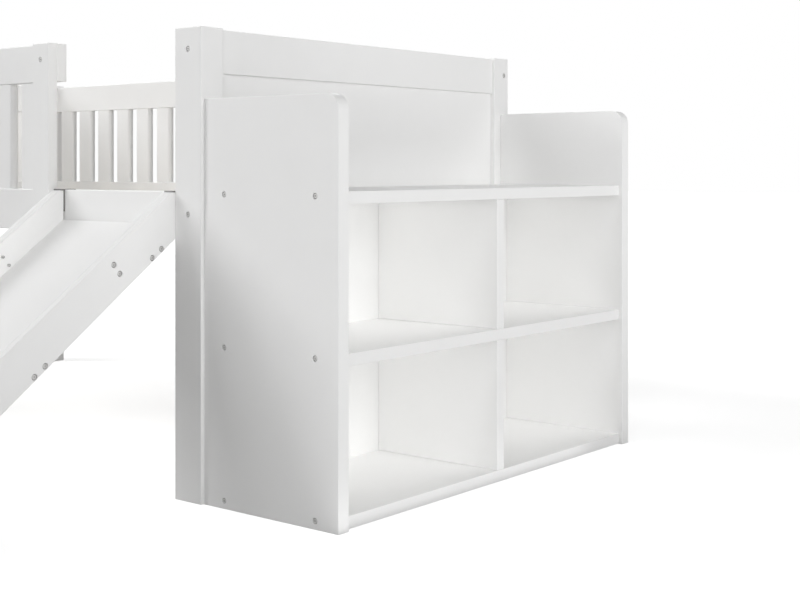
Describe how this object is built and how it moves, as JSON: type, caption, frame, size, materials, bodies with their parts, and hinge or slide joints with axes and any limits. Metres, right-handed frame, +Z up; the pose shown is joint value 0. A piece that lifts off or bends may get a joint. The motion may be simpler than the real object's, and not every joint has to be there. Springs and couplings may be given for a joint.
{
  "type": "loft bed with slide",
  "caption": "Low child's loft bed of painted wood with a slide and ladder at its front, slatted guards, and a bookcase of open cubbies across the head end.",
  "frame": {"origin": "middle of the whole footprint, at floor level", "axes": "+Z up, +X from the foot end to the bookcase at the head end, -Y the side with the slide and the ladder"},
  "size_m": [2.4632, 1.876, 0.99],
  "materials": {
    "white_paint": "satin white paint on solid wood and board",
    "pale_pine": "sanded, unpainted pine",
    "bolt_steel": "zinc plate, satin",
    "hook_steel": "dark grey powder coat"
  },
  "bodies": {
    "root": {"head_post_front": "white_paint", "head_post_back": "white_paint", "foot_post_front": "white_paint", "foot_post_back": "white_paint", "head_top_rail": "white_paint", "head_panel": "white_paint", "head_lower_rail": "white_paint", "foot_top_rail": "white_paint", "foot_panel": "white_paint", "foot_lower_rail": "white_paint", "side_rail_front": "white_paint", "side_rail_back": "white_paint", "guard_back": "white_paint", "guard_front": "white_paint", "guard_post_slide": "white_paint", "guard_post_ladder": "white_paint", "slide_side_head": "white_paint", "slide_side_foot": "white_paint", "slide_cheek_head": "white_paint", "slide_cheek_foot": "white_paint", "slide_floor": "white_paint", "slide_batten_1": "white_paint", "slide_batten_2": "white_paint", "slide_batten_3": "white_paint", "ladder_stringer_head": "white_paint", "ladder_stringer_foot": "white_paint", "ladder_tread_1": "white_paint", "ladder_tread_2": "white_paint", "ladder_tread_3": "white_paint", "bookcase_side_front": "white_paint", "bookcase_side_back": "white_paint", "shelf_bottom": "white_paint", "shelf_middle": "white_paint", "shelf_top": "white_paint", "divider_lower": "white_paint", "divider_upper": "white_paint", "bookcase_back_panel": "white_paint", "slat_ledger_front": "pale_pine", "slat_ledger_back": "pale_pine", "platform_slat_1": "pale_pine", "platform_slat_2": "pale_pine", "platform_slat_3": "pale_pine", "platform_slat_4": "pale_pine", "platform_slat_5": "pale_pine", "platform_slat_6": "pale_pine", "platform_slat_7": "pale_pine", "platform_slat_8": "pale_pine", "platform_slat_9": "pale_pine", "platform_slat_10": "pale_pine", "bolt_head_top_rail": "bolt_steel", "bolt_head_lower_rail": "bolt_steel", "bolt_guard_rail": "bolt_steel", "bolt_shelf_1": "bolt_steel", "bolt_shelf_2": "bolt_steel", "bolt_shelf_3": "bolt_steel", "bolt_shelf_4": "bolt_steel", "bolt_shelf_5": "bolt_steel", "bolt_shelf_6": "bolt_steel", "slide_hook_head": "hook_steel", "slide_hook_foot": "hook_steel"}
  },
  "joints": []
}
